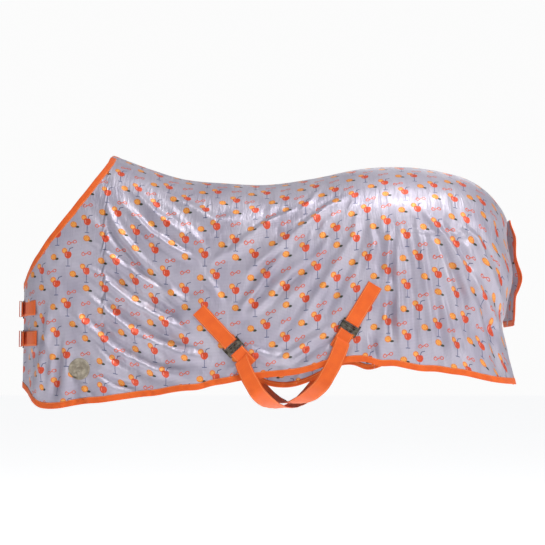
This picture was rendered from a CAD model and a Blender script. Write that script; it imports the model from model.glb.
"""Fly sheet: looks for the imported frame. Sizes below are in millimetres, and meshes are made in metres."""
import math
import random

import bmesh
import bpy
import numpy as np
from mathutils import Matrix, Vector


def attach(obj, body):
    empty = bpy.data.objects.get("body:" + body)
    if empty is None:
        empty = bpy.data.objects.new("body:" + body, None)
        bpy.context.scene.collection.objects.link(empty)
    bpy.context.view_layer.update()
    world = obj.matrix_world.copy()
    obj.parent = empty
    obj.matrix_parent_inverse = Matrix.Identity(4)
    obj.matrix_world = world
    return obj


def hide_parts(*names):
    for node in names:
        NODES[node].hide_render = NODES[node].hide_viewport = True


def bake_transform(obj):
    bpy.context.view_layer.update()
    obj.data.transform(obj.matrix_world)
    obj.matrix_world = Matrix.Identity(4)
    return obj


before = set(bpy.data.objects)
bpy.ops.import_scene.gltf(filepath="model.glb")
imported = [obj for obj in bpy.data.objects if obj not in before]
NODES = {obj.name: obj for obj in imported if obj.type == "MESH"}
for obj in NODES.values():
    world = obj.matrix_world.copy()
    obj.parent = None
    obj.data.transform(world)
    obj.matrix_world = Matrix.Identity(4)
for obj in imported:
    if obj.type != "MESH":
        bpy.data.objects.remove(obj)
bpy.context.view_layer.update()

MM = 0.001

# ---- camera
EYE = Vector((0.016, -4.49, -0.62))
AIM = Vector((0.016, 0.0, -0.306))


def make_camera():
    data = bpy.data.cameras.new("camera")
    data.lens = 85
    data.sensor_width = 36
    data.clip_end = 100
    camera = bpy.data.objects.new("camera", data)
    camera.location = EYE
    camera.rotation_euler = (AIM - EYE).to_track_quat("-Z", "Y").to_euler()
    bpy.context.scene.collection.objects.link(camera)
    bpy.context.scene.camera = camera


make_camera()


# ---- sizes shared with the frame
BARREL = 290
FRONT_X, REAR_X = -840, 830
CHEST_HALF, RUMP_HALF = 110, 150
SLIT_HALF, TAIL_HALF = 3, 100
WEB_W = 50
CHEST_Z = {"upper": -437, "lower": -539}
STATIONS = (
    (0.000, 150, CHEST_HALF, 400),
    (0.017, 150, 0.570 * BARREL, 400),
    (0.045, 148, 0.680 * BARREL, 400),
    (0.090, 138, 0.770 * BARREL, 400),
    (0.184, 100, 0.850 * BARREL, 370),
    (0.256, 56, 0.890 * BARREL, 330),
    (0.327, 20, 0.930 * BARREL, 300),
    (0.407, 6, 0.965 * BARREL, 290),
    (0.503, 0, 1.000 * BARREL, 290),
    (0.599, 22, 1.020 * BARREL, 300),
    (0.700, 56, 1.020 * BARREL, 310),
    (0.790, 62, 1.010 * BARREL, 310),
    (0.862, 46, 0.975 * BARREL, 290),
    (0.916, 20, 0.915 * BARREL, 265),
    (0.952, -18, 0.830 * BARREL, 240),
    (0.982, -72, 0.700 * BARREL, 215),
    (1.000, -117, RUMP_HALF, 190),
)
NECK = (
    (-862, -366), (-850, -338), (-836, -300), (-819, -264), (-797, -230), (-774, -194), (-746, -158), (-718, -122),
    (-690, -88), (-662, -52), (-634, -18), (-606, 18), (-578, 52), (-553, 84), (-532, 106),
)
HEM = (
    (-862, -700), (-840, -730), (-824, -758), (-806, -775), (-784, -781), (-735, -781), (-686, -772), (-637, -764),
    (-588, -761), (-539, -754), (-490, -747), (-441, -740), (-392, -736), (-343, -726), (-294, -719), (-245, -716),
    (-196, -702), (-147, -694), (-98, -684), (-20, -674), (100, -662), (161, -647), (205, -632), (250, -624),
    (294, -618), (343, -618), (392, -633), (441, -632), (490, -642), (539, -651), (588, -652), (637, -660),
    (686, -666), (735, -677), (784, -688), (833, -694), (880, -696), (950, -700),
)
REAR_PULL = (
    (-900, 0), (-700, 0), (-682, -3), (-648, -11), (-612, -20), (-578, -25), (-542, -34), (-508, -40), (-472, -28),
    (-438, -22), (-402, -14), (-368, -5), (-332, 0), (-298, -2), (-262, -8), (-200, -14), (-120, 0), (200, 0),
)
# how much lower than the near hem the off hem hangs
OFF_LOWER = ((-840, -12), (-70, -8), (0, 40), (200, 42), (270, 14), (400, 12), (450, -14), (830, -16))


def curve(points):
    """A smooth line through (x, y) points, as a function of x."""
    x, y = np.array(points, float).T
    step = np.diff(y) / np.diff(x)
    slope = np.concatenate([step[:1], (step[1:] + step[:-1]) / 2, step[-1:]])

    def at(q):
        q = np.clip(q, x[0], x[-1])
        i = np.clip(np.searchsorted(x, q) - 1, 0, len(x) - 2)
        w = x[i + 1] - x[i]
        t = (q - x[i]) / w
        return (
            (2 * t**3 - 3 * t**2 + 1) * y[i]
            + (t**3 - 2 * t**2 + t) * w * slope[i]
            + (3 * t**2 - 2 * t**3) * y[i + 1]
            + (t**3 - t**2) * w * slope[i + 1]
        )

    return at


PITCH = math.atan2(AIM.z - EYE.z, AIM.y - EYE.y)
REACH = (AIM - EYE).length / MM


def seen(x, y, z):
    """Side view of points, from the near side: (x, z) as laid on the middle plane."""
    x, y, z = x - EYE.x / MM, -np.abs(y) - EYE.y / MM, z - EYE.z / MM
    far = y * math.cos(PITCH) + z * math.sin(PITCH)
    rise = z * math.cos(PITCH) - y * math.sin(PITCH)
    return AIM.x / MM + x * REACH / far, AIM.z / MM + rise * REACH / far


def smooth(a, b, q):
    t = np.clip((q - a) / (b - a), 0, 1)
    return t * t * (3 - 2 * t)


SHARES = [FRONT_X + s[0] * (REAR_X - FRONT_X) for s in STATIONS]
top_of = curve([(x, s[1]) for x, s in zip(SHARES, STATIONS)])
half_of = curve([(x, s[2]) for x, s in zip(SHARES, STATIONS)])
drop_of = curve([(x, s[3]) for x, s in zip(SHARES, STATIONS)])
neck_of = curve(NECK)
hem_of = curve(HEM)
rear_pull = curve(REAR_PULL)
lower_of = curve(OFF_LOWER)


# ---- folds of the drape
# Each fold: a line of (x, z) points as seen from the near side, half width, height.
NEAR_FOLDS = (
    # shoulder and withers, sweeping down and back to the girth
    (((-610, 10), (-511, -186), (-392, -322), (-276, -420), (-190, -480)), 13, 8),
    (((-640, -60), (-480, -245), (-380, -345), (-280, -440)), 15, -6),
    (((-535, -38), (-413, -168), (-315, -234), (-217, -273)), 12, 7),
    (((-510, 20), (-400, -95), (-300, -170), (-200, -225)), 16, 6),
    (((-700, -170), (-590, -224), (-480, -304), (-353, -378), (-255, -430)), 11, 8),
    (((-640, -235), (-490, -360), (-370, -430), (-240, -500)), 15, -7),
    (((-730, -230), (-600, -310), (-480, -413), (-353, -480), (-196, -549)), 13, 9),
    (((-680, -320), (-480, -470), (-340, -540), (-190, -590)), 14, -7),
    (((-720, -330), (-590, -425), (-462, -528), (-315, -588), (-157, -616)), 15, 9),
    (((-690, -390), (-540, -540), (-400, -620), (-230, -650)), 14, -6),
    (((-760, -400), (-648, -480), (-528, -588), (-392, -648), (-255, -675)), 13, 8),
    (((-700, -380), (-640, -520), (-560, -620), (-440, -690)), 18, 7),
    (((-620, -640), (-540, -690), (-440, -715)), 10, -8),
    # chest
    (((-728, -500), (-735, -609), (-752, -775)), 11, -11),
    (((-770, -380), (-768, -500), (-790, -640), (-800, -760)), 15, 9),
    (((-700, -560), (-705, -660), (-700, -765)), 12, 8),
    (((-800, -480), (-780, -560), (-775, -680)), 10, -8),
    (((-660, -680), (-640, -730), (-610, -760)), 9, 7),
    (((-790, -260), (-740, -360), (-720, -470)), 16, 5),
    # the back: swags between withers and hip, meeting in a V over the girth
    (((108, -77), (-21, -147), (-119, -224), (-217, -273)), 13, 8),
    (((200, -60), (60, -140), (-60, -235), (-160, -310)), 16, -6),
    (((108, -168), (0, -304), (-88, -430), (-126, -500)), 12, 8),
    (((98, -294), (10, -392), (-88, -469)), 11, 6),
    (((-420, 10), (-300, -60), (-180, -130), (-60, -110)), 16, 5),
    (((-240, -300), (-190, -360), (-150, -440)), 12, 6),
    # hip, running down and forward
    (((294, -28), (210, -77), (84, -182), (-28, -266), (-110, -350)), 12, 9),
    (((318, -28), (284, -95), (172, -238), (28, -350), (-70, -470)), 13, 9),
    (((322, -50), (240, -150), (110, -300), (-10, -430)), 15, -8),
    (((322, -67), (294, -189), (200, -333), (95, -508)), 13, 8),
    (((350, -60), (330, -200), (250, -360), (170, -520)), 14, -7),
    (((388, -144), (350, -277), (305, -410)), 11, 7),
    (((0, -637), (116, -560), (256, -483)), 10, 8),
    (((60, -650), (170, -575), (280, -520)), 10, -7),
    (((-100, -560), (0, -600), (110, -610)), 13, 6),
    # thigh
    (((427, -120), (410, -350), (399, -543), (388, -610)), 12, 9),
    (((440, -140), (436, -350), (430, -560)), 9, -8),
    (((445, -140), (452, -350), (466, -543), (476, -640)), 11, 9),
    (((475, -120), (500, -300), (512, -470), (520, -640)), 12, -7),
    (((490, -49), (522, -116), (539, -256), (560, -410), (588, -620)), 12, 8),
    (((522, -56), (616, -182), (672, -294), (721, -410), (777, -600)), 13, 9),
    (((560, -100), (630, -240), (680, -400), (700, -640)), 13, -7),
    (((578, -116), (672, -256), (767, -410), (844, -600)), 12, 8),
    (((637, -105), (732, -189), (777, -294), (826, -445)), 12, 7),
    (((590, -330), (625, -480), (650, -640)), 12, 7),
    (((350, -480), (372, -560), (380, -620)), 10, -9),
    (((740, -420), (790, -560), (820, -690)), 12, -7),
    # crease across the rump
    (((430, -152), (560, -166), (770, -184)), 6, 3),
)
OFF_SHIFT = 34  # how far the off side's folds lie from the near side's, along the sheet


def fold_height(px, pz, folds):
    """Height of the cloth over its form at points (px, pz) of the side view."""
    total = np.zeros(px.shape)
    for line, wide, high in folds:
        line = np.array(line, float)
        run = np.concatenate([[0], np.cumsum(np.hypot(*np.diff(line, axis=0).T))])
        best = np.full(px.shape, 1e9)
        along = np.zeros(px.shape)
        for k in range(len(line) - 1):
            (x0, z0), (x1, z1) = line[k], line[k + 1]
            dx, dz = x1 - x0, z1 - z0
            size = math.hypot(dx, dz)
            t = np.clip(((px - x0) * dx + (pz - z0) * dz) / size**2, 0, 1)
            gap = np.hypot(px - x0 - t * dx, pz - z0 - t * dz)
            near = gap < best
            best = np.where(near, gap, best)
            along = np.where(near, (run[k] + t * size) / run[-1], along)
        fade = smooth(0, 0.38, along) * smooth(1.0, 0.7, along)
        width = wide * (0.8 + 0.5 * along)
        q = best / width
        total += high * fade * (np.exp(-q * q) - 0.42 * np.exp(-((q - 1.7) ** 2)))
    return total


def small_folds(seed, count):
    """Short random folds that follow the lines of pull over shoulder, girth and thigh."""
    rng = random.Random(seed)
    made = []
    for _ in range(count):
        x = rng.uniform(-800, 800)
        z = rng.uniform(-700, 20)
        if x < -150:
            angle = math.radians(rng.gauss(-58, 9) - (12 if x < -600 else 0))
        elif x < 330:
            angle = math.radians(rng.gauss(-125, 12))
        else:
            angle = math.radians(rng.gauss(-84, 7))
        long = rng.uniform(90, 260)
        bend = rng.gauss(0, 0.12)
        mid = (x + math.cos(angle) * long / 2, z + math.sin(angle) * long / 2)
        end = (mid[0] + math.cos(angle + bend) * long / 2, mid[1] + math.sin(angle + bend) * long / 2)
        made.append((((x, z), mid, end), rng.uniform(6, 13), rng.choice((-1, 1)) * rng.uniform(1.4, 3.6)))
    return made


# ---- the draped surface
STEP = 6.0  # between points of the table
SIDE_ROW = 150  # a row of the table that lies on the side, well below the spine


def plan_line():
    """Plan outline of one side, chest slit to tail slit, as lengths along it and points (x, y)."""
    xs = np.linspace(FRONT_X, REAR_X, 1400)
    points = [(FRONT_X, y) for y in np.linspace(SLIT_HALF, CHEST_HALF, 60)]
    points += [(x, float(half_of(x))) for x in xs]
    points += [(REAR_X, y) for y in np.linspace(RUMP_HALF, TAIL_HALF, 30)]
    line = np.array(points)
    run = np.concatenate([[0], np.cumsum(np.hypot(*np.diff(line, axis=0).T))])
    fine = np.arange(0, run[-1], 2.0)
    line = np.stack([np.interp(fine, run, line[:, k]) for k in (0, 1)], 1)
    kernel = np.exp(-np.linspace(-2, 2, 31) ** 2)
    kernel /= kernel.sum()
    padded_line = np.concatenate([2 * line[0] - line[15:0:-1], line, 2 * line[-1] - line[-2:-17:-1]])
    line = np.stack([np.convolve(padded_line[:, k], kernel, "valid") for k in (0, 1)], 1)
    run = np.concatenate([[0], np.cumsum(np.hypot(*np.diff(line, axis=0).T))])
    even = np.linspace(0, run[-1], int(run[-1] / STEP) + 1)
    return even, np.stack([np.interp(even, run, line[:, k]) for k in (0, 1)], 1)


# where the billets lie flat: centre x, z; half length, half width; slope of the length; y of the cloth
FLAT_SPOTS = (
    (-174, -503, 84, 34, math.atan2(-107, 100), 284.6),
    (313, -430, 82, 34, math.atan2(-121, -74), 296.6),
)


class Drape:
    """One side of the sheet as a table of points over plan length u and depth s, in millimetres."""

    def __init__(self, side, folds, seed):
        self.side = side
        self.u, plan = plan_line()
        self.s = np.arange(0, 1300, STEP)
        x, y = plan[:, 0], plan[:, 1]
        top, drop = top_of(x), drop_of(x)
        angles = np.radians(np.linspace(0, 90, 61))
        ay = y[:, None] * np.sin(angles)
        az = top[:, None] - drop[:, None] * (1 - np.cos(angles))
        down = np.linspace(0, 1, 61)[1:]
        az = np.concatenate([az, az[:, -1:] + (-900 - az[:, -1:]) * down], 1)
        ay = np.concatenate([ay, np.repeat(y[:, None], 60, 1)], 1)
        steps = np.hypot(np.diff(ay, axis=1), np.diff(az, axis=1))
        run = np.concatenate([np.zeros((len(x), 1)), np.cumsum(steps, 1)], 1)
        self.arch = run[:, 60]
        table = np.zeros((len(x), len(self.s), 3))
        for i in range(len(x)):
            table[i, :, 0] = x[i]
            table[i, :, 1] = np.interp(self.s, run[i], ay[i])
            table[i, :, 2] = np.interp(self.s, run[i], az[i])
        self.table = table
        self.x, self.y = x, y
        # the buttock: the cloth hangs in under it
        z = table[:, :, 2]
        table[:, :, 0] += rear_pull(z) * smooth(560, 830, table[:, :, 0])
        # the front corners: drawn back round the shoulder
        corner = 12 + 13 * smooth(-400, -470, z)
        table[:, :, 0] += corner * smooth(58, 106, np.abs(table[:, :, 1])) * smooth(-700, -830, table[:, :, 0])
        px, pz = seen(table[:, :, 0], table[:, :, 1], z)
        if side > 0:
            px = px + OFF_SHIFT
        height = 1.45 * fold_height(px, pz, folds) + fold_height(px, pz, small_folds(seed, 150))
        wave = 5 * np.sin(self.u / 61 + seed) + 4 * np.sin(self.u / 37 + 2 * seed) + 3 * np.sin(self.u / 23 + seed)
        height += wave[:, None] * smooth(-480, -720, z)
        height *= smooth(4, 90, self.s)[None, :]
        height *= 1 - 0.75 * smooth(-730, -835, table[:, :, 0]) * smooth(150, 60, np.abs(table[:, :, 1]))
        for cz in CHEST_Z.values():
            height *= 1 - smooth(50, 30, np.abs(z - cz)) * smooth(-740, -785, table[:, :, 0])
        keep = np.ones(height.shape)
        out = np.zeros(height.shape)
        for cx, cz, long, wide, slope, stand in FLAT_SPOTS:
            a = np.abs((table[:, :, 0] - cx) * math.cos(slope) + (z - cz) * math.sin(slope))
            b = np.abs(-(table[:, :, 0] - cx) * math.sin(slope) + (z - cz) * math.cos(slope))
            mask = smooth(long + 55, long, a) * smooth(wide + 55, wide, b)
            keep *= 1 - mask
            out += mask * stand
        normal = self.normals(table)
        table += normal * (height * keep)[:, :, None]
        still = np.abs(table[:, :, 1])
        table[:, :, 1] = np.where(out > 0, still * keep + out, still)
        table[:, :, 1] *= side
        self.normal = self.normals(table)
        # edges: where each column passes the neck line and the hem line of the side view
        px, pz = seen(table[:, :, 0], table[:, :, 1], table[:, :, 2])
        self.top_s = np.zeros(len(x))
        self.hem_s = np.zeros(len(x))
        for i in range(len(x)):
            neck_gap = np.maximum.accumulate(neck_of(px[i]) - pz[i])
            if px[i, 0] < NECK[-1][0]:
                self.top_s[i] = np.interp(0, neck_gap, self.s)
            fall = lower_of(x[i]) if side > 0 else 0
            hem_gap = np.maximum.accumulate(hem_of(px[i]) - fall - pz[i])
            self.hem_s[i] = np.interp(0, hem_gap, self.s)
        kernel = np.ones(5) / 5
        self.hem_s = np.convolve(np.pad(self.hem_s, 2, "edge"), kernel, "valid")
        corner = np.interp(np.clip(x, FRONT_X + 30, REAR_X - 6), x[40:-12], self.arch[40:-12])
        self.print_v = corner - self.arch

    def normals(self, table):
        """Directions square to the cloth, outwards."""
        du = np.gradient(table, axis=0)
        ds = np.gradient(table, axis=1)
        normal = np.cross(du, ds)
        normal /= np.maximum(np.linalg.norm(normal, axis=2, keepdims=True), 1e-9)
        half = len(table) // 2
        return normal * np.sign(normal[half, SIDE_ROW, 1] * table[half, SIDE_ROW, 1])

    def at(self, u, s, lift=0.0):
        """Points at plan length u and depth s, lifted outwards, in metres."""
        u, s = np.broadcast_arrays(np.asarray(u, float), np.asarray(s, float))
        i = np.clip(u / (self.u[1] - self.u[0]), 0, len(self.u) - 1.001)
        j = np.clip(s / STEP, 0, len(self.s) - 1.001)
        i0, j0 = i.astype(int), j.astype(int)
        fi, fj = (i - i0)[..., None], (j - j0)[..., None]

        def mix(grid):
            return (
                grid[i0, j0] * (1 - fi) * (1 - fj)
                + grid[i0 + 1, j0] * fi * (1 - fj)
                + grid[i0, j0 + 1] * (1 - fi) * fj
                + grid[i0 + 1, j0 + 1] * fi * fj
            )

        normal = mix(self.normal)
        normal /= np.maximum(np.linalg.norm(normal, axis=-1, keepdims=True), 1e-9)
        return (mix(self.table) + normal * np.asarray(lift, float)[..., None]) * MM

    def find(self, x, z):
        """Plan length u and depth s of the points over (x, z) on the side."""
        x, z = np.broadcast_arrays(np.asarray(x, float), np.asarray(z, float))
        u, s = np.zeros(x.shape), np.zeros(x.shape)
        first = np.argmax(self.x > FRONT_X + 1)
        last = len(self.x) - 1 - np.argmax(self.x[::-1] < REAR_X - 1)
        for k in np.ndindex(x.shape):
            u[k] = np.interp(x[k], self.x[first:last], self.u[first:last])
            i = int(np.clip(u[k] / (self.u[1] - self.u[0]), 0, len(self.u) - 1))
            s[k] = np.interp(-z[k], np.maximum.accumulate(-self.table[i, :, 2]), self.s)
        return u, s


OFF_FOLDS = []
for line, wide, high in NEAR_FOLDS:
    OFF_FOLDS.append(([(x + 60 * math.sin(z / 160), z) for x, z in line], wide, -high))
NEAR = Drape(-1, NEAR_FOLDS, 7)
OFF = Drape(1, OFF_FOLDS, 23)
SIDES = {"near": NEAR, "off": OFF}


# ---- mesh makers
def finish_mesh(name, bm, material, smooth_faces=True):
    mesh = bpy.data.meshes.new(name)
    bm.to_mesh(mesh)
    bm.free()
    for face in mesh.polygons:
        face.use_smooth = smooth_faces
    mesh.materials.append(material)
    obj = bpy.data.objects.new(name, mesh)
    bpy.context.scene.collection.objects.link(obj)
    return obj


def cloth_grid(points, uv, flip=False):
    """A grid laid on an array of points (n, m, 3) in metres, with its UV map, as a bmesh."""
    n, m = points.shape[:2]
    bm = bmesh.new()
    layer = bm.loops.layers.uv.new("cut")
    bmesh.ops.create_grid(bm, x_segments=n - 1, y_segments=m - 1, size=0.5)
    bm.verts.ensure_lookup_table()
    place = {}
    for v in bm.verts:
        i = round((v.co.x + 0.5) * (n - 1))
        j = round((v.co.y + 0.5) * (m - 1))
        place[v] = (i, j)
    for v, (i, j) in place.items():
        v.co = points[i, j]
    for face in bm.faces:
        for loop in face.loops:
            loop[layer].uv = uv[place[loop.vert]]
    if flip:
        bmesh.ops.reverse_faces(bm, faces=bm.faces)
    return bm


def wall(obj, thick, offset=-1):
    """Cloth thickness in mm; offset -1 puts it all on the inner side, 0 half each way."""
    solid = obj.modifiers.new("wall", "SOLIDIFY")
    solid.thickness = thick * MM
    solid.offset = offset
    solid.use_even_offset = False
    return obj


def closed_band(name, rings, uv, material):
    """A tape with closed ends, from its rings of points (n, m, 3)."""
    bm = cloth_grid(np.concatenate([rings, rings[:, :1]], 1), uv)
    bmesh.ops.remove_doubles(bm, verts=bm.verts, dist=1e-6)
    bmesh.ops.holes_fill(bm, edges=[e for e in bm.edges if e.is_boundary], sides=0)
    bmesh.ops.recalc_face_normals(bm, faces=bm.faces)
    return finish_mesh(name, bm, material)


# section of a folded tape: how far in from the edge, and height off the cloth
BIND_RING = (
    (20, 0.25), (20, 1.15), (17, 1.5), (11, 1.75), (5, 1.8), (1, 1.7), (-0.8, 0.9), (-1.1, 0),
    (-0.8, -0.9), (1, -1.7), (5, -1.8), (11, -1.75), (17, -1.5), (20, -1.15), (20, -0.25),
)


def ring_lengths():
    ring = np.array(BIND_RING + BIND_RING[:1], float)
    return np.concatenate([[0], np.cumsum(np.hypot(*np.diff(ring, axis=0).T))])


def binding_ring(drape, u, s, du, ds, seed, lift=0.0, pucker=0.35):
    """Ring points of a folded tape whose edge runs along (u, s), its width along (du, ds)."""
    ring = np.array(BIND_RING, float)
    run = np.concatenate([[0], np.cumsum(np.hypot(np.diff(u), np.diff(s)))])
    ripple = pucker * (np.sin(run / 5.3 + seed) + np.sin(run / 8.1 + 2 * seed)) / 2
    w = ring[:, 0][None, :]
    h = ring[:, 1][None, :] * (1 + ripple[:, None] * 0.5) + lift
    points = drape.at(u[:, None] + w * du[:, None], s[:, None] + w * ds[:, None], h)
    uv = np.zeros((len(u), len(ring) + 1, 2))
    uv[:, :, 0] = run[:, None] * MM
    uv[:, :, 1] = ring_lengths()[None, :] * MM
    return points, uv


def span(u):
    """Steps of about 7 mm from one value to another."""
    return np.linspace(u[0], u[1], max(2, int(abs(u[1] - u[0]) / 7)))


def spline(points, steps):
    """A Catmull-Rom line through points, with that many steps on each run."""
    p = np.array(points, float)
    p = np.concatenate([[2 * p[0] - p[1]], p, [2 * p[-1] - p[-2]]])
    out = []
    for k in range(1, len(p) - 2):
        t = np.linspace(0, 1, steps, endpoint=False)[:, None]
        a, b, c, d = p[k - 1], p[k], p[k + 1], p[k + 2]
        bend, twist = 2 * a - 5 * b + 4 * c - d, 3 * b - a - 3 * c + d
        out.append(0.5 * (2 * b + (c - a) * t + bend * t**2 + twist * t**3))
    out.append(p[-2:-1])
    return np.concatenate(out)


def web(name, line, across, out, material=None, width=WEB_W, thick=2.0, columns=8, cup=0.0, wobble=0.0, seed=1):
    """Flat webbing along a line (n, 3) mm, with its width and face directions at each point."""
    line, across, out = (np.array(a, float) for a in (line, across, out))
    across /= np.linalg.norm(across, axis=1, keepdims=True)
    out /= np.linalg.norm(out, axis=1, keepdims=True)
    run = np.concatenate([[0], np.cumsum(np.linalg.norm(np.diff(line, axis=0), axis=1))])
    q = np.linspace(-1, 1, columns + 1)
    ripple = np.sin(run[:, None] / 19 + 2.1 * q[None, :] + seed) * np.sin(run[:, None] / 41 + seed)
    lift = cup * (q[None, :] ** 2 - 0.4) + wobble * ripple
    points = line[:, None] + across[:, None] * (q * width / 2)[None, :, None] + out[:, None] * lift[:, :, None]
    uv = np.zeros(points.shape[:2] + (2,))
    uv[:, :, 0] = run[:, None] * MM
    uv[:, :, 1] = ((q + 1) * width / 2)[None, :] * MM
    obj = finish_mesh(name, cloth_grid(points * MM, uv), material or WEBBING)
    face = obj.data.polygons[len(obj.data.polygons) // 2]
    nearest = int(np.argmin(np.linalg.norm(line * MM - np.array(face.center), axis=1)))
    if Vector(out[nearest]).dot(face.normal) < 0:
        obj.data.flip_normals()
    return wall(obj, thick, 0)


# ---- materials
class Paint:
    """A material's node tree, with short ways to add nodes."""

    def __init__(self, name):
        self.material = bpy.data.materials.new(name)
        self.material.use_nodes = True
        self.tree = self.material.node_tree
        self.shader = self.tree.nodes["Principled BSDF"]

    def node(self, kind, inputs=(), **settings):
        made = self.tree.nodes.new(kind)
        for key, value in settings.items():
            setattr(made, key, value)
        for key, value in dict(inputs).items():
            if isinstance(value, bpy.types.NodeSocket):
                self.tree.links.new(value, made.inputs[key])
            else:
                made.inputs[key].default_value = value
        return made

    def math(self, operation, a, b=None, c=None):
        inputs = {i: v for i, v in enumerate((a, b, c)) if v is not None}
        return self.node("ShaderNodeMath", inputs, operation=operation).outputs[0]

    def vector(self, operation, a, b=None, out=0):
        inputs = {i: v for i, v in enumerate((a, b)) if v is not None}
        return self.node("ShaderNodeVectorMath", inputs, operation=operation).outputs[out]

    def mix(self, share, a, b):
        made = self.node("ShaderNodeMix", data_type="RGBA")
        for key, value in (("Factor", share), ("A", a), ("B", b)):
            wanted = "VALUE" if key == "Factor" else "RGBA"
            sockets = [s for s in made.inputs if s.name == key and s.type == wanted]
            if isinstance(value, bpy.types.NodeSocket):
                self.tree.links.new(value, sockets[0])
            else:
                sockets[0].default_value = value
        return [s for s in made.outputs if s.type == "RGBA"][0]

    def noise(self, vector, scale, detail=3.0, rough=0.5, distortion=0.0):
        inputs = {"Vector": vector, "Scale": scale, "Detail": detail, "Roughness": rough, "Distortion": distortion}
        return self.node("ShaderNodeTexNoise", inputs).outputs["Fac"]

    def ramp(self, value, low, high, to_low=0.0, to_high=1.0):
        inputs = {"Value": value, "From Min": low, "From Max": high, "To Min": to_low, "To Max": to_high}
        return self.node("ShaderNodeMapRange", inputs).outputs["Result"]

    def bump(self, height, strength, distance, normal=None):
        inputs = {"Height": height, "Strength": strength, "Distance": distance}
        if normal is not None:
            inputs["Normal"] = normal
        return self.node("ShaderNodeBump", inputs).outputs["Normal"]

    def split(self, vector):
        return self.node("ShaderNodeSeparateXYZ", {0: vector}).outputs

    def place(self):
        """Where a point is on the piece."""
        return self.node("ShaderNodeTexCoord").outputs["Object"]

    def cut(self):
        """Where a point is on the flat cloth or tape."""
        return self.node("ShaderNodeUVMap", uv_map="cut").outputs[0]

    def link(self, value, key):
        self.tree.links.new(value, self.shader.inputs[key])

    def set(self, **values):
        for key, value in values.items():
            self.shader.inputs[key.replace("_", " ")].default_value = value


def linear(r, g, b):
    """A colour given as 0-255 screen values."""
    def one(c):
        c /= 255
        return c / 12.92 if c <= 0.04045 else ((c + 0.055) / 1.055) ** 2.4
    return (one(r), one(g), one(b), 1.0)


TILE = 166.0
GLASSES = ((0.0, 0.0), (0.385, 0.292), (0.770, 0.584))
SLICES = ((0.103, 0.385), (0.379, 0.642), (0.683, 0.049))
RIBBONS = ((0.378, 0.952), (0.650, 0.345), (0.078, 0.755))


def choose(p, nearer, a, b):
    """a where nearer is 0, b where it is 1, for vectors."""
    step = p.vector("SUBTRACT", b, a)
    scaled = p.node("ShaderNodeVectorMath", {0: step, "Scale": nearer}, operation="SCALE").outputs[0]
    return p.vector("ADD", a, scaled)


def motif(p, tile, places, middle=(0, 0)):
    """Millimetres from the nearest of the places in the repeat, counted from middle."""
    best, best_gap = None, None
    for x, y in places:
        moved = p.vector("SUBTRACT", tile, (x - 0.5 + middle[0] / TILE, y - 0.5 + middle[1] / TILE, 0))
        here = p.vector("SUBTRACT", p.vector("FRACTION", moved), (0.5, 0.5, 0))
        here = p.vector("MULTIPLY", here, (TILE, TILE, 0))
        gap = p.vector("LENGTH", here, out=1)
        if best is None:
            best, best_gap = here, gap
        else:
            nearer = p.math("LESS_THAN", gap, best_gap)
            best = choose(p, nearer, best, here)
            best_gap = p.math("MINIMUM", gap, best_gap)
    return p.vector("ADD", best, (middle[0], middle[1], 0))


def ellipse(p, here, x, y, rx, ry):
    """Distance in millimetres, about, from an ellipse."""
    off = p.vector("MULTIPLY", p.vector("SUBTRACT", here, (x, y, 0)), (1 / rx, 1 / ry, 0))
    return p.math("MULTIPLY", p.math("SUBTRACT", p.vector("LENGTH", off, out=1), 1.0), min(rx, ry))


def stroke(p, here, x0, y0, x1, y1, thick):
    """Distance from a straight stroke."""
    dx, dy = x1 - x0, y1 - y0
    size = dx * dx + dy * dy
    off = p.vector("SUBTRACT", here, (x0, y0, 0))
    along = p.math("MULTIPLY", p.vector("DOT_PRODUCT", off, (dx, dy, 0), out=1), 1 / size)
    along = p.node("ShaderNodeClamp", {"Value": along}).outputs[0]
    back = p.node("ShaderNodeVectorMath", {0: (dx, dy, 0), "Scale": along}, operation="SCALE").outputs[0]
    return p.math("SUBTRACT", p.vector("LENGTH", p.vector("SUBTRACT", off, back), out=1), thick)


def ink(p, distance):
    """1 inside a printed shape and 0 outside, with a soft edge of 0.8 mm."""
    return p.ramp(distance, 0.4, -0.4)


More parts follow.
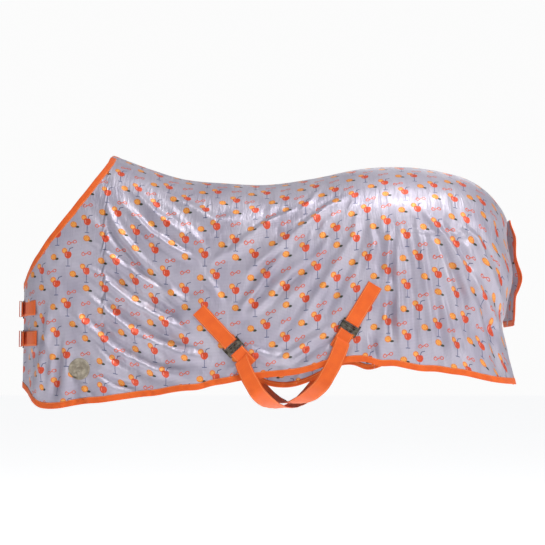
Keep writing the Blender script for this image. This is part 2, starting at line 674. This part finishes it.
def printed_satin():
    """Pale lilac satin with a repeat of drinks, orange slices and bows."""
    p = Paint("printed_satin")
    uv = p.cut()
    tile = p.vector("MULTIPLY", uv, (1000 / TILE, 1000 / TILE, 0))
    wobble = p.node("ShaderNodeTexNoise", {"Vector": uv, "Scale": 260.0, "Detail": 1.0}).outputs["Color"]
    wobble = p.vector("MULTIPLY", p.vector("SUBTRACT", wobble, (0.5, 0.5, 0.5)), (0.008, 0.008, 0))
    tile = p.vector("ADD", tile, wobble)
    tint = p.noise(uv, 9.0, 2.0)
    cloth = p.mix(p.ramp(tint, 0.3, 0.7), linear(172, 166, 184), linear(194, 189, 203))

    glass = motif(p, tile, GLASSES, (0, 9))
    bowl = ellipse(p, glass, 0, 0, 12.2, 13.4)
    rim = p.math("MAXIMUM", bowl, p.math("SUBTRACT", -9.5, p.split(glass)[1]))
    wedge = ellipse(p, glass, -12, -12, 9.5, 9.5)
    pith = ellipse(p, glass, -12, -12, 6.4, 6.4)
    straw = p.math("MINIMUM", stroke(p, glass, 1, -4, 6, -20, 1.1), stroke(p, glass, 6, -20, 17, -24, 1.1))
    stem = p.math("MINIMUM", stroke(p, glass, 0, 12, 0, 38, 1.0), stroke(p, glass, -6.5, 39, 6.5, 39, 1.2))
    fizz = p.noise(uv, 420.0, 2.0, 0.6)
    fine = p.math("SINE", p.math("MULTIPLY", p.split(uv)[1], 2 * math.pi / 0.0046))
    cloth = p.mix(p.ramp(fine, 0.2, 1.0, 0.0, 0.35), cloth, linear(140, 134, 156))
    colour = p.mix(ink(p, wedge), cloth, linear(236, 126, 42))
    colour = p.mix(ink(p, pith), colour, linear(246, 172, 84))
    colour = p.mix(ink(p, straw), colour, linear(58, 62, 104))
    colour = p.mix(ink(p, stem), colour, linear(74, 82, 120))
    drink = p.mix(p.ramp(fizz, 0.42, 0.62), linear(206, 52, 26), linear(232, 96, 48))
    colour = p.mix(ink(p, rim), colour, drink)
    shine = stroke(p, glass, -6.5, -3, -5.5, 5, 1.2)
    colour = p.mix(p.math("MULTIPLY", ink(p, shine), 0.6), colour, linear(250, 190, 170))

    slice_at = motif(p, tile, SLICES)
    leaf = ellipse(p, slice_at, 13, 7, 6.8, 3.9)
    rind = ellipse(p, slice_at, 0, 0, 11.4, 10.6)
    flesh = ellipse(p, slice_at, -0.6, -0.4, 8.6, 7.9)
    spokes = p.split(slice_at)
    turn = p.math("ARCTAN2", spokes[1], spokes[0])
    spoke = p.math("ABSOLUTE", p.math("SINE", p.math("MULTIPLY", turn, 3.0)))
    colour = p.mix(ink(p, leaf), colour, linear(48, 56, 40))
    colour = p.mix(ink(p, rind), colour, linear(226, 128, 40))
    pulp = p.mix(p.ramp(spoke, 0.1, 0.3), linear(250, 206, 130), linear(240, 150, 54))
    colour = p.mix(ink(p, flesh), colour, pulp)

    ribbon_at = motif(p, tile, RIBBONS)
    turned = p.node("ShaderNodeVectorRotate", {"Vector": ribbon_at, "Angle": math.radians(17)}).outputs[0]
    loops = None
    for x in (-10.5, 10.5):
        ring = p.math("SUBTRACT", p.math("ABSOLUTE", ellipse(p, turned, x, 0, 5.4, 4.6)), 1.3)
        loops = ring if loops is None else p.math("MINIMUM", loops, ring)
    knot = p.math("MINIMUM", stroke(p, turned, -5, 1.5, 5, -1.5, 1.5), stroke(p, turned, -14, -5, -8, -7, 1.1))
    colour = p.mix(ink(p, p.math("MINIMUM", loops, knot)), colour, linear(216, 100, 76))

    p.link(colour, "Base Color")
    streaks = p.node("ShaderNodeMapping", {"Vector": uv, "Rotation": (0, 0, 0.9), "Scale": (60, 14, 1)}).outputs[0]
    crinkle = p.noise(streaks, 1.0, 4.0, 0.6, 0.6)
    ribs = p.node(
        "ShaderNodeTexWave",
        {"Vector": uv, "Scale": 62.0, "Distortion": 0.6, "Detail": 1.0},
        wave_type="BANDS",
        bands_direction="Y",
    ).outputs["Fac"]
    weave = p.node("ShaderNodeTexVoronoi", {"Vector": uv, "Scale": 520.0, "Randomness": 0.35}).outputs["Distance"]
    normal = p.bump(crinkle, 0.5, 0.006)
    normal = p.bump(ribs, 0.18, 0.0006, normal)
    normal = p.bump(weave, 0.15, 0.0004, normal)
    p.link(normal, "Normal")
    gloss = p.ramp(p.noise(uv, 34.0, 3.0), 0.3, 0.7, 0.38, 0.52)
    p.link(gloss, "Roughness")
    p.set(Specular_IOR_Level=0.8, Sheen_Weight=0.2, Sheen_Roughness=0.4, Metallic=0.35)
    return p.material


def plain_satin():
    p = Paint("plain_satin")
    at = p.place()
    colour = p.mix(p.ramp(p.noise(at, 14.0), 0.3, 0.7), linear(182, 176, 190), linear(202, 197, 208))
    p.link(colour, "Base Color")
    normal = p.bump(p.noise(at, 700.0, 2.0), 0.3, 0.0005)
    p.link(normal, "Normal")
    p.link(p.ramp(p.noise(at, 40.0), 0.3, 0.7, 0.34, 0.5), "Roughness")
    p.set(Specular_IOR_Level=0.6, Sheen_Weight=0.2)
    return p.material


def bound_tape(name, low, high, stitched, pitch, rows):
    """Woven orange tape: ribs across it, rows of stitches along it at the given distances from UV v = 0."""
    p = Paint(name)
    uv = p.cut()
    along, over = p.split(uv)[:2]
    wear = p.noise(uv, 30.0, 4.0, 0.6)
    colour = p.mix(p.ramp(wear, 0.3, 0.7), linear(*low), linear(*high))
    rib = p.math("SINE", p.math("MULTIPLY", along, 2 * math.pi / pitch))
    yarn = p.math("SINE", p.math("MULTIPLY", over, 2 * math.pi / (pitch * 0.8)))
    weave = p.math("MULTIPLY", rib, yarn)
    colour = p.mix(p.ramp(weave, -1.0, 0.4, 0.22, 0.0), colour, linear(150, 44, 8))
    normal = p.bump(p.ramp(weave, -1, 1), 0.35, 0.0005)
    if rows:
        dash = p.math("GREATER_THAN", p.math("FRACT", p.math("MULTIPLY", along, 1 / 0.0042)), 0.28)
        thread = None
        for row in rows:
            here = p.math("LESS_THAN", p.math("ABSOLUTE", p.math("SUBTRACT", over, row * MM)), 0.0007)
            thread = here if thread is None else p.math("MAXIMUM", thread, here)
        thread = p.math("MULTIPLY", thread, dash)
        colour = p.mix(p.math("MULTIPLY", thread, 0.85), colour, linear(*stitched))
        normal = p.bump(thread, 0.6, 0.0006, normal)
    crease = p.noise(p.node("ShaderNodeMapping", {"Vector": uv, "Scale": (55, 90, 1)}).outputs[0], 1.0, 3.0)
    normal = p.bump(crease, 0.3, 0.001, normal)
    p.link(colour, "Base Color")
    p.link(normal, "Normal")
    p.link(p.ramp(wear, 0.3, 0.7, 0.62, 0.78), "Roughness")
    p.set(Specular_IOR_Level=0.35, Sheen_Weight=0.15)
    return p.material


def worn_metal(name, low, high, rough):
    p = Paint(name)
    at = p.place()
    patina = p.noise(at, 90.0, 5.0, 0.6)
    colour = p.mix(p.ramp(patina, 0.38, 0.66), linear(*low), linear(*high))
    p.link(colour, "Base Color")
    p.link(p.ramp(patina, 0.3, 0.7, rough + 0.14, rough - 0.06), "Roughness")
    scratch = p.noise(p.node("ShaderNodeMapping", {"Vector": at, "Scale": (900, 140, 400)}).outputs[0], 1.0, 2.0)
    normal = p.bump(patina, 0.25, 0.0006)
    p.link(p.bump(scratch, 0.15, 0.0002, normal), "Normal")
    p.set(Metallic=1.0)
    return p.material


def badge_rubber():
    p = Paint("badge_rubber")
    at = p.place()
    colour = p.mix(p.ramp(p.noise(at, 60.0, 4.0), 0.35, 0.65), linear(128, 118, 102), linear(176, 166, 148))
    p.link(colour, "Base Color")
    p.link(p.bump(p.noise(at, 400.0, 3.0), 0.3, 0.0004), "Normal")
    p.set(Roughness=0.55)
    return p.material


SATIN = printed_satin()
PLAIN = plain_satin()
BINDING = bound_tape("bound_tape", (228, 92, 24), (242, 108, 34), (250, 160, 96), 0.0016, (3.0, 37.5))
WEBBING = bound_tape("webbing", (230, 94, 26), (242, 108, 34), (250, 158, 92), 0.0024, (4.0, 46.0))
PEWTER = worn_metal("pewter", (62, 56, 50), (150, 140, 126), 0.36)
BLACK_METAL = worn_metal("black_metal", (14, 12, 12), (46, 42, 40), 0.42)
BADGE = badge_rubber()


def fit(obj, body, node):
    """Put a piece on its body, in place of a node, with its material slot."""
    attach(obj, body)
    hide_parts(node)
    return obj


# ---- panels
def panel(side):
    drape = SIDES[side]
    u = np.linspace(0, drape.u[-1], 262)
    top = np.interp(u, drape.u, drape.top_s)
    low = np.interp(u, drape.u, drape.hem_s)
    v = np.linspace(0, 1, 138)
    # rows follow the neck line at the top and run level lower down
    s = low[:, None] * v[None, :] + top[:, None] * (1 - v[None, :]) ** 1.45
    points = drape.at(np.repeat(u[:, None], len(v), 1), s)
    uv = np.zeros(points.shape[:2] + (2,))
    uv[:, :, 0] = (u * MM)[:, None] * (-1 if side == "off" else 1)
    uv[:, :, 1] = (s + np.interp(u, drape.u, drape.print_v)[:, None]) * MM
    bm = cloth_grid(points, uv, flip=(side == "near"))
    obj = wall(finish_mesh(f"{side}_panel", bm, SATIN), 0.9)
    fit(obj, "sheet", f"{side}_side_panel")


for name in SIDES:
    panel(name)


# ---- bindings
def edge_binding(name, node, drape, u, s, du, ds, seed, lift=0.0):
    points, uv = binding_ring(drape, u, s, du, ds, seed, lift)
    fit(closed_band(name, points, uv, BINDING), "sheet", node)


for name, drape in SIDES.items():
    end = drape.u[-1]
    hem = np.interp(span((0, end)), drape.u, drape.hem_s)
    u = span((0, end))
    zero, one = np.zeros(len(u)), np.ones(len(u))
    edge_binding(f"{name}_hem_tape", f"{name}_hem_binding", drape, u, hem, zero, -one, 1.3)
    s = span((drape.top_s[0] + 12, drape.hem_s[0] - 4))
    zero, one = np.zeros(len(s)), np.ones(len(s))
    edge_binding(f"{name}_chest_tape", f"{name}_chest_binding", drape, zero, s, one, zero, 2.1, 0.3)
    s = span((60, drape.hem_s[-1] - 4))
    zero, one = np.zeros(len(s)), np.ones(len(s))
    edge_binding(f"{name}_rear_tape", f"{name}_rear_binding", drape, zero + end, s, -one, zero, 4.4, 0.3)


def neck_tape():
    """One tape from the near chest corner over the withers to the off one."""
    rings, uvs = [], []
    for name, drape in SIDES.items():
        stop = np.interp(NECK[-1][0], drape.x[30:200], drape.u[30:200])
        u = np.linspace(0, stop, 150)
        s = np.interp(u, drape.u, drape.top_s)
        s = s * smooth(0, 6, stop - u)
        tu, ts = np.gradient(u), np.gradient(s)
        size = np.hypot(tu, ts)
        du, ds = -ts / size, tu / size
        turn = smooth(60, 0, stop - u)
        du, ds = du * (1 - turn) + turn, ds * (1 - turn)
        size = np.hypot(du, ds)
        points, uv = binding_ring(drape, u, s, du / size, ds / size, 3.0)
        rings.append(points if name == "near" else points[::-1][1:])
        uvs.append(uv if name == "near" else uv[::-1][1:])
    uvs[1][:, :, 0] = 2 * uvs[0][-1, 0, 0] - uvs[1][:, :, 0]
    obj = closed_band("neck_tape", np.concatenate(rings), np.concatenate(uvs), BINDING)
    fit(obj, "sheet", "neck_binding")


neck_tape()


# ---- billets and belly straps
BILLETS = {
    # name: top (x, z), lower end (x, z), y of the plate's bar, T-hook bar (x, y, z)
    "front": ((-224, -450), (-124, -557), -291.25, (-98.1, -294.55, -584.8)),
    "rear": ((350, -370), (276, -491), -303.26, (256.2, -306.56, -523.4)),
}
FAR_STAND = {"front": 289.8, "rear": 301.8}  # y of the webbing on the off side
CROSS = {"front": (62, -776), "rear": (62, -760)}  # x, z where each strap passes the middle
OTHER = {"front": "rear", "rear": "front"}
# from a strap's upper end to the middle: shares of the way along, of the width, of the way down
STRAP_STEPS = (
    (0.06, 1.012, 0.13), (0.17, 1.03, 0.36), (0.30, 1.035, 0.56),
    (0.42, 0.99, 0.72), (0.62, 0.72, 0.88), (0.82, 0.37, 0.97),
)


def down_of(name):
    """Direction and length of a billet."""
    (x0, z0), (x1, z1) = BILLETS[name][:2]
    size = math.hypot(x1 - x0, z1 - z0)
    return np.array(((x1 - x0) / size, 0, (z1 - z0) / size)), size


def steady(line, out, across=None):
    """Width directions for a line, square to it and to its face directions."""
    run = np.gradient(line, axis=0)
    width = np.cross(run, out)
    width /= np.linalg.norm(width, axis=1, keepdims=True)
    if across is not None:
        flip = np.sign(width @ np.array(across))
        width *= np.where(flip == 0, 1, flip)[:, None]
    return width


def soften(values, turns):
    """Rows averaged with their neighbours, so many times over."""
    for _ in range(turns):
        values[1:-1] = (values[:-2] + 2 * values[1:-1] + values[2:]) / 4
    return values


def billet(name):
    """Webbing folded round the slot plate's bar, both ends sewn flat on the side."""
    (x0, z0), (x1, z1), bar_y, _ = BILLETS[name]
    down, long = down_of(name)
    start = np.array((x0, 0, z0))
    path = [(0, 6.3), (long * 0.3, 6.1), (long * 0.7, 5.9), (long - 12, 5.4)]
    path += [(long + 4.0 * math.cos(a), 4.0 * math.sin(a)) for a in map(math.radians, (75, 40, 0, -40, -75))]
    path += [(long - 9, -2.4), (long - 22, 0.6), (long - 40, 3.0), (long * 0.45, 3.6), (4, 4.0), (0, 4.1)]
    flat = spline([(t, h, 0) for t, h in path], 7)
    line = start + down * flat[:, :1] + np.array((0, 1, 0)) * (bar_y + flat[:, 1:2])
    run = np.gradient(flat[:, :2], axis=0)
    face = down * -run[:, 1:2] + np.array((0, 1, 0)) * run[:, :1]
    across = np.tile(np.cross(down, (0, 1, 0)), (len(line), 1))
    obj = web(f"{name}_billet_web", line, across, -face, wobble=0.25, seed=3)
    fit(obj, "sheet", f"{name}_billet")


def strap_line(name):
    """Middle line of a whole belly strap, from its loop to its far patch, and the points in the loop."""
    far = OTHER[name]
    hook = np.array(BILLETS[name][3])
    down, _ = down_of(name)
    x0, z0 = hook[0] + down[0] * 5, hook[2] + down[2] * 5
    cx, cz = CROSS[name]
    near = [(x0 + a * (cx - x0), b * hook[1], z0 + c * (cz - z0)) for a, b, c in STRAP_STEPS]
    # steps down from the hook's bar and out from it: the tail, round the bar, and on down
    steps = [(62, 4.4), (40, 4.2), (14, 4.4)]
    steps += [(-4.0 * math.cos(math.radians(a)), 4.0 * math.sin(math.radians(a))) for a in (60, 20, -20, -60)]
    steps += [(12, -1.5), (26, 1.4)]
    loop = [hook + down * a + np.array((0, b, 0)) for a, b in steps]
    (fx, fz), (ex, ez), _, _ = BILLETS[far]
    fdown, _ = down_of(far)
    ex, ez = ex + fdown[0] * 44, ez + fdown[2] * 44
    stand = FAR_STAND[far]
    off = [(ex + a * (cx - ex), b * stand, ez + c * (cz - ez)) for a, b, c in STRAP_STEPS]
    rest = np.linspace(math.hypot(fx - ex, fz - ez), 0, 6)
    straight = [(fx + fdown[0] * t, stand, fz + fdown[2] * t) for t in rest]
    line = spline([*loop, *near, (cx, 0, cz), *off[::-1], *straight], 9)
    return line, len(loop)


def belly_strap(name):
    """One length of webbing: its loop moves with the hook, its far end stays on the sheet."""
    line, loops = strap_line(name)
    count = len(line)
    run = np.gradient(line, axis=0)
    run /= np.linalg.norm(run, axis=1, keepdims=True)
    widest = np.max(np.abs(line[:, 1]))
    out = np.stack([np.zeros(count), line[:, 1], np.abs(line[:, 1]) - widest * 1.02], 1)
    out /= np.linalg.norm(out, axis=1, keepdims=True)
    across = steady(line, out, (1, 0, 0))
    first, last = (np.cross(down_of(end)[0], (0, 1, 0)) for end in (name, OTHER[name]))
    first, last = first * np.sign(first[0]), last * np.sign(last[0])
    index = np.arange(count)
    near_part = smooth(loops * 9 + 14, loops * 9 - 4, index)[:, None]
    far_part = smooth(count - 60, count - 42, index)[:, None]
    across = across * (1 - near_part) * (1 - far_part) + first * near_part + last * far_part
    across = soften(across, 12)
    across /= np.linalg.norm(across, axis=1, keepdims=True)
    out = np.cross(across, run)
    out *= -np.sign(out[loops * 9 + 20, 1])
    seed = 5 if name == "front" else 9
    obj = web(f"{name}_belly_strap", line, across, out, wobble=0.9, cup=0.5, seed=seed)
    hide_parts(f"{name}_strap_near", f"{name}_strap_far")
    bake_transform(obj)


for name in BILLETS:
    billet(name)
    belly_strap(name)


# ---- patches sewn on the cloth
PATCH = 66


def patch(name, node, drape, x, z, turn, lift, thick):
    """A square of webbing laid on the cloth at (x, z)."""
    q = np.linspace(-0.5, 0.5, 13) * PATCH
    a, b = np.meshgrid(q, q, indexing="ij")
    px = x + a * math.cos(turn) - b * math.sin(turn)
    pz = z + a * math.sin(turn) + b * math.cos(turn)
    u, s = drape.find(px, pz)
    points = drape.at(u, s, np.full(u.shape, lift))
    uv = np.stack([a + PATCH / 2, b + PATCH / 2], 2) * MM
    bm = cloth_grid(points, uv, flip=drape.side > 0)
    fit(wall(finish_mesh(name, bm, WEBBING), thick, 0), "sheet", node)


for name, (top, end, _, _) in BILLETS.items():
    down, _ = down_of(name)
    turn = math.atan2(down[0], -down[2])
    middle = ((top[0] + end[0]) / 2, (top[1] + end[1]) / 2)
    patch(f"{name}_backing", f"{name}_backing_patch", NEAR, *middle, turn, -1.9, 1.2)
    x, z = top[0] + down[0] * PATCH / 2, top[1] + down[2] * PATCH / 2
    patch(f"off_{name}_anchor", f"off_{name}_anchor_patch", OFF, x, z, turn, 1.8, 1.4)


# ---- topline, badge, tail flap
def topline():
    """The tape under the seam along the spine."""
    xs = np.linspace(-500, 826, 150)
    ys = np.linspace(-1, 1, 7) * 15
    half, top, drop = half_of(xs), top_of(xs), drop_of(xs)
    angle = np.arcsin(np.clip(ys[None, :] / half[:, None], -1, 1))
    z = top[:, None] - drop[:, None] * (1 - np.cos(angle)) - 1.9
    points = np.stack([np.repeat(xs[:, None], 7, 1), np.repeat(ys[None, :], len(xs), 0), z], 2) * MM
    uv = np.stack([points[:, :, 0], points[:, :, 1]], 2)
    bm = cloth_grid(points, uv)
    fit(wall(finish_mesh("topline_web", bm, PLAIN), 1.3, 0), "sheet", "topline_tape")


topline()


def round_badge():
    """A moulded disc with a raised rim and a plain ring, sewn to the skirt."""
    x, z = -621, -641
    profile = (
        (0, 2.9), (5, 2.9), (6.5, 1.6), (9, 1.6), (10.5, 3.2), (14, 3.2), (15.5, 1.6),
        (26, 1.5), (27.5, 2.2), (29.5, 3.6), (33, 3.6), (35.2, 2.7), (36, 1.2), (36, 0.5),
    )
    bm = bmesh.new()
    verts = [bm.verts.new((r, 0, h)) for r, h in profile]
    edges = [bm.edges.new(pair) for pair in zip(verts, verts[1:])]
    turn = {"cent": (0, 0, 0), "axis": (0, 0, 1), "angle": 2 * math.pi, "steps": 72, "use_merge": True}
    bmesh.ops.spin(bm, geom=verts + edges, **turn)
    bmesh.ops.remove_doubles(bm, verts=bm.verts, dist=1e-4)
    rim = [e for e in bm.edges if e.is_boundary]
    bmesh.ops.holes_fill(bm, edges=rim, sides=0)
    bmesh.ops.recalc_face_normals(bm, faces=bm.faces)
    places = [(v, v.co.copy()) for v in bm.verts]
    u, s = NEAR.find(np.array([x + c.x for _, c in places]), np.array([z + c.y for _, c in places]))
    spots = NEAR.at(u, s, np.array([c.z for _, c in places]))
    for (v, _), spot in zip(places, spots):
        v.co = spot
    bmesh.ops.recalc_face_normals(bm, faces=bm.faces)
    fit(finish_mesh("round_badge", bm, BADGE), "sheet", "badge")


round_badge()

FLAP_TOP, FLAP_LEN, FLAP_HALF = -128, 370, 118
CLEAR = 836.2  # x behind the rear edges, where the flap can hang
# by height: x of the flap's sides, and how far they stand behind its middle
FLAP_SIDE = curve(
    ((-500, 840), (-455, 840), (-399, 843), (-368, 857), (-340, 866), (-318, 865),
     (-290, 855), (-262, 847), (-201, 846), (-161, 841), (-128, 838))
)
FLAP_FLARE = curve(
    ((-498, 3), (-455, 4), (-399, 7), (-348, 20), (-318, 24), (-262, 10), (-201, 10), (-161, 5), (-128, 1))
)


def flap_point(q, z, lift=0.0):
    """A point of the tail flap: q from -1 to 1 across, and its height; sides flared backwards."""
    q, z = np.broadcast_arrays(np.asarray(q, float), np.asarray(z, float))
    outer = smooth(0.62, 1.0, np.abs(q))
    middle = np.maximum(FLAP_SIDE(z) - FLAP_FLARE(z), 836.5)
    wave = 2.2 * np.sin(q * 7 + z / 60) * (1 - smooth(-150, -128, z)) + 1.5
    x = np.maximum(middle + FLAP_FLARE(z) * outer + wave * (1 - np.abs(q)) + lift, CLEAR)
    wide = FLAP_HALF * (0.5 + 0.5 * smooth(-126, -200, z)) * (1 - 0.12 * smooth(-430, -498, z))
    y = q * wide - np.sign(q) * 5 * outer * (FLAP_FLARE(z) / 20)
    return np.stack([x, y, z], -1)


def flap_cloth():
    z = np.linspace(FLAP_TOP, FLAP_TOP - FLAP_LEN + 4, 60)
    q = np.linspace(-1, 1, 48)
    points = flap_point(q[:, None], z[None, :])
    uv = np.zeros(points.shape[:2] + (2,))
    uv[:, :, 0] = (q * FLAP_HALF)[:, None] * MM
    uv[:, :, 1] = -z[None, :] * MM
    bm = cloth_grid(points * MM, uv, flip=True)
    obj = wall(finish_mesh("flap_cloth", bm, SATIN), 0.9, 0)
    fit(obj, "flap", "tail_flap")


def flap_tape():
    """The flap's binding: down one side, round the corners along the bottom and up the other."""
    ring = np.array(BIND_RING, float)
    low, bend = FLAP_TOP - FLAP_LEN + 3, 22
    round_q = bend / FLAP_HALF
    # across, height, and the way inwards over the cloth
    left = [(-1.0, h, 1, 0) for h in np.linspace(FLAP_TOP - 1, low + bend, 46)]
    for a in np.radians(np.linspace(0, 90, 7))[1:]:
        left.append((-1 + round_q * (1 - math.cos(a)), low + bend * (1 - math.sin(a)), math.cos(a), math.sin(a)))
    bottom = [(k, low, 0, 1) for k in np.linspace(-1 + round_q, 1 - round_q, 30)[1:-1]]
    right = [(-a, b, -c, d) for a, b, c, d in left[::-1]]
    path = np.array(left + bottom + right)
    w = ring[:, 0][None, :]
    lift = ring[:, 1][None, :] * 1.05
    points = flap_point(path[:, :1] + w * path[:, 2:3] / FLAP_HALF, path[:, 1:2] + w * path[:, 3:4], lift)
    run = np.concatenate([[0], np.cumsum(np.linalg.norm(np.diff(points[:, 0], axis=0), axis=1))])
    uv = np.zeros((len(path), len(ring) + 1, 2))
    uv[:, :, 0] = run[:, None] * MM
    uv[:, :, 1] = ring_lengths()[None, :] * MM
    fit(closed_band("flap_tape", points * MM, uv, BINDING), "flap", "tail_flap_binding")


flap_cloth()
flap_tape()


# ---- chest straps
BAR_X, BAR_Y = -848.4, -22  # the buckle bar that the billet folds round
CHEST_COLUMNS = 14, 200  # columns of the table past the chest corner, with x growing


def side_run(drape, z, depth):
    """Webbing lying on the chest and round the front corner of one side, from y 60 to x -790."""
    first, last = CHEST_COLUMNS
    stop = np.interp(-790, drape.x[first:last], drape.u[first:last])
    u = np.linspace(60 - SLIT_HALF, stop, 26)
    heights = [-drape.table[int(k / STEP), :, 2] for k in u]
    s = np.array([np.interp(-z, np.maximum.accumulate(row), drape.s) for row in heights])
    flat = drape.at(u, s, np.full(u.shape, depth)) / MM
    flat[:, 2] = z
    return flat


def upright_web(name, node, line, seed):
    """Webbing on the sheet with its width upright, along a line of points."""
    line = spline(soften(np.array(line, float), 2), 4)
    across = np.tile((0.0, 0.0, 1.0), (len(line), 1))
    out = np.cross(np.gradient(line, axis=0), across)
    fit(web(name, line, across, out, wobble=0.15, seed=seed), "sheet", node)


def keeper_web(name, z):
    """The keeper: a narrow band round both layers of the strap."""
    corners = (
        (-844.3, -26.8), (-850.4, -27), (-850.8, -26.6), (-850.9, 0), (-850.8, 26.6), (-850.4, 27), (-844.3, 26.8),
        (-844.1, 0), (-844.3, -26.8),
    )
    ring = np.array([(x, -78, z + dz) for x, dz in corners])
    across = np.tile((0.0, 1.0, 0.0), (len(ring), 1))
    out = np.cross(across, np.gradient(ring, axis=0))
    obj = web(f"{name}_keeper_web", ring, across, out, width=10, thick=1.2, columns=2)
    fit(obj, f"{name}_keeper", f"{name}_keeper")


TIP_X = {"upper": -836.5, "lower": -831.5}  # where the strap's free end lies
for name, z in CHEST_Z.items():
    sewn = side_run(NEAR, z, 3.4)
    turns = [math.radians(a) for a in (70, 35, 0, -35, -70)]
    # x, y of the billet, round the bar and back behind itself
    under = [(-842.2, -60), (-842.3, -40), (-843.6, -28)]
    under += [(BAR_X + 3.7 * math.sin(a), BAR_Y + 3.7 * math.cos(a)) for a in turns]
    under += [(-846.8, -33), (-845.6, -45)]
    line = [*sewn[::-1], *((x, y, z) for x, y in under)]
    upright_web(f"{name}_buckle_web", f"{name}_chest_billet", line, 2)
    # x, y of the strap, over the roller and down to its free end
    over = [
        (-842.9, 44), (-843.2, 22), (-846.0, 8), (-853.2, -8), (-854.6, -22),
        (-853.6, -32), (-848.6, -50), (-846.0, -78), (TIP_X[name], -104),
    ]
    line = [*side_run(OFF, z, 2.2)[::-1], *((x, y, z) for x, y in over)]
    upright_web(f"{name}_strap_web", f"{name}_chest_strap", line, 4)
    keeper_web(name, z)


# ---- metal of the frame
METAL = {f"{name}_{part}": PEWTER for name in BILLETS for part in ("slot_plate", "t_hook", "slide")}
METAL.update({f"{name}_{part}": BLACK_METAL for name in CHEST_Z for part in ("buckle_frame", "roller", "prong")})
for name, metal in METAL.items():
    for part_slot in NODES[name].material_slots:
        part_slot.material = metal


# ---- stage and light
def make_stage():
    bm = bmesh.new()
    bmesh.ops.create_grid(bm, x_segments=8, y_segments=8, size=30)
    bmesh.ops.translate(bm, verts=bm.verts, vec=(0, 0, -1.5))
    p = Paint("pale_floor")
    p.link(p.mix(p.noise(p.place(), 1.5), (0.88, 0.88, 0.88, 1), (0.9, 0.9, 0.9, 1)), "Base Color")
    p.set(Roughness=0.9, Emission_Color=(1, 1, 1, 1), Emission_Strength=0.72)
    floor = finish_mesh("floor", bm, p.material, False)


def area_light(name, place, target, size, power, colour=(1, 1, 1)):
    data = bpy.data.lights.new(name, "AREA")
    data.shape = "RECTANGLE"
    data.size, data.size_y = size
    data.energy = power
    data.color = colour
    obj = bpy.data.objects.new(name, data)
    obj.location = place
    obj.rotation_euler = (Vector(target) - Vector(place)).to_track_quat("-Z", "Y").to_euler()
    bpy.context.scene.collection.objects.link(obj)


make_stage()
area_light("key", (0.9, -1.5, 3.2), (0.1, 0, -0.2), (1.1, 0.8), 76, (1.0, 0.99, 0.97))
area_light("side", (2.9, -3.2, 1.5), (0.1, 0, -0.3), (0.8, 0.8), 60, (1.0, 0.99, 0.97))
area_light("fill", (-2.6, -3.4, 0.6), (0, 0, -0.4), (2.5, 2.0), 5, (0.92, 0.95, 1.0))
area_light("back", (1.2, 3.2, 2.0), (0.2, 0, -0.2), (2.0, 1.4), 18)


def studio():
    """Soft even light all round, and plain white behind the object."""
    world = bpy.data.worlds.new("studio")
    world.use_nodes = True
    tree = world.node_tree
    soft = tree.nodes["Background"]
    soft.inputs["Color"].default_value = (0.94, 0.96, 1, 1)
    soft.inputs["Strength"].default_value = 0.26
    white = tree.nodes.new("ShaderNodeBackground")
    white.inputs["Color"].default_value = (0.97, 0.97, 0.97, 1)
    both = tree.nodes.new("ShaderNodeMixShader")
    tree.links.new(tree.nodes.new("ShaderNodeLightPath").outputs["Is Camera Ray"], both.inputs["Fac"])
    tree.links.new(soft.outputs[0], both.inputs[1])
    tree.links.new(white.outputs[0], both.inputs[2])
    tree.links.new(both.outputs[0], tree.nodes["World Output"].inputs["Surface"])
    bpy.context.scene.world = world


studio()
bpy.context.scene.view_settings.view_transform = "Standard"
